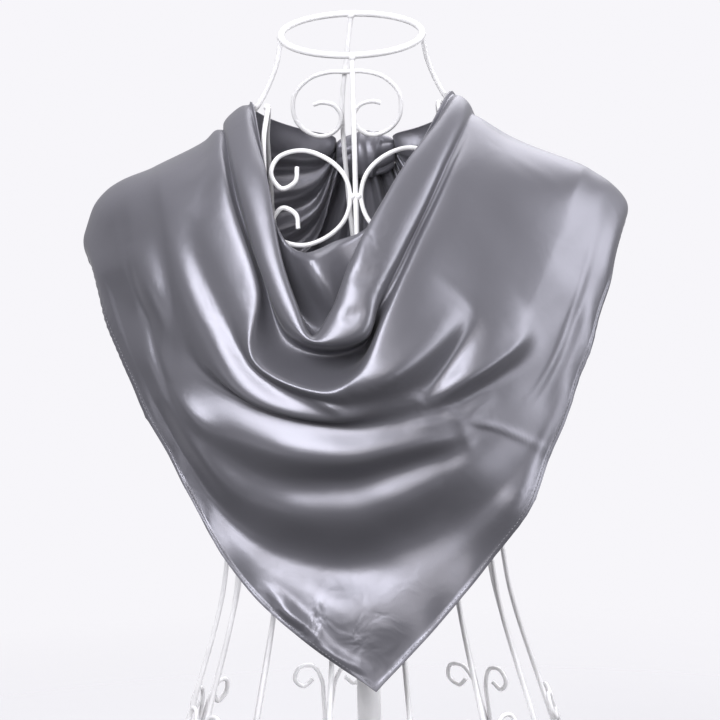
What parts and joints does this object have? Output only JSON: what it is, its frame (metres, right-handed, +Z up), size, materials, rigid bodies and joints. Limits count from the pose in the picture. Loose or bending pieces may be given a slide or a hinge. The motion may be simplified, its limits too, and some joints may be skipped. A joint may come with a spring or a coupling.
{
  "type": "satin square scarf on a wire dress form",
  "caption": "Plain grey satin square scarf, folded into a triangle, draped as a cowl and knotted at the nape, on a white wire dress form with a round base.",
  "frame": {"origin": "centre of the underside of the round base plate", "axes": "+Z up, the front of the scarf faces -Y, +X to the right as seen from the front"},
  "size_m": [0.4258, 0.2928, 0.7664],
  "materials": {
    "satin": "smooth satin with a soft silver sheen",
    "white_paint": "semi-gloss white powder coat"
  },
  "bodies": {
    "root": {"cowl_roll": "satin", "cowl_fold": "satin", "front_drape": "satin", "left_wrap": "satin", "right_wrap": "satin", "knot": "satin", "left_tail": "satin", "right_tail": "satin", "neck_ring": "white_paint", "waist_ring": "white_paint", "hip_ring": "white_paint", "front_wire": "white_paint", "back_wire": "white_paint", "left_shoulder_wire": "white_paint", "right_shoulder_wire": "white_paint", "left_front_wire": "white_paint", "right_front_wire": "white_paint", "left_back_wire": "white_paint", "right_back_wire": "white_paint", "left_chest_scroll": "white_paint", "right_chest_scroll": "white_paint", "nape_scroll": "white_paint", "skirt_scroll_1": "white_paint", "skirt_scroll_2": "white_paint", "skirt_scroll_3": "white_paint", "skirt_scroll_4": "white_paint", "skirt_scroll_5": "white_paint", "skirt_scroll_6": "white_paint", "skirt_scroll_7": "white_paint", "skirt_wire_01": "white_paint", "skirt_wire_02": "white_paint", "skirt_wire_03": "white_paint", "skirt_wire_04": "white_paint", "skirt_wire_05": "white_paint", "skirt_wire_06": "white_paint", "skirt_wire_07": "white_paint", "skirt_wire_08": "white_paint", "skirt_wire_09": "white_paint", "skirt_wire_10": "white_paint", "skirt_wire_11": "white_paint", "skirt_wire_12": "white_paint", "skirt_wire_13": "white_paint", "skirt_wire_14": "white_paint", "pole": "white_paint", "waist_bar": "white_paint", "left_hip_bar": "white_paint", "right_hip_bar": "white_paint", "base_plate": "white_paint"}
  },
  "joints": []
}
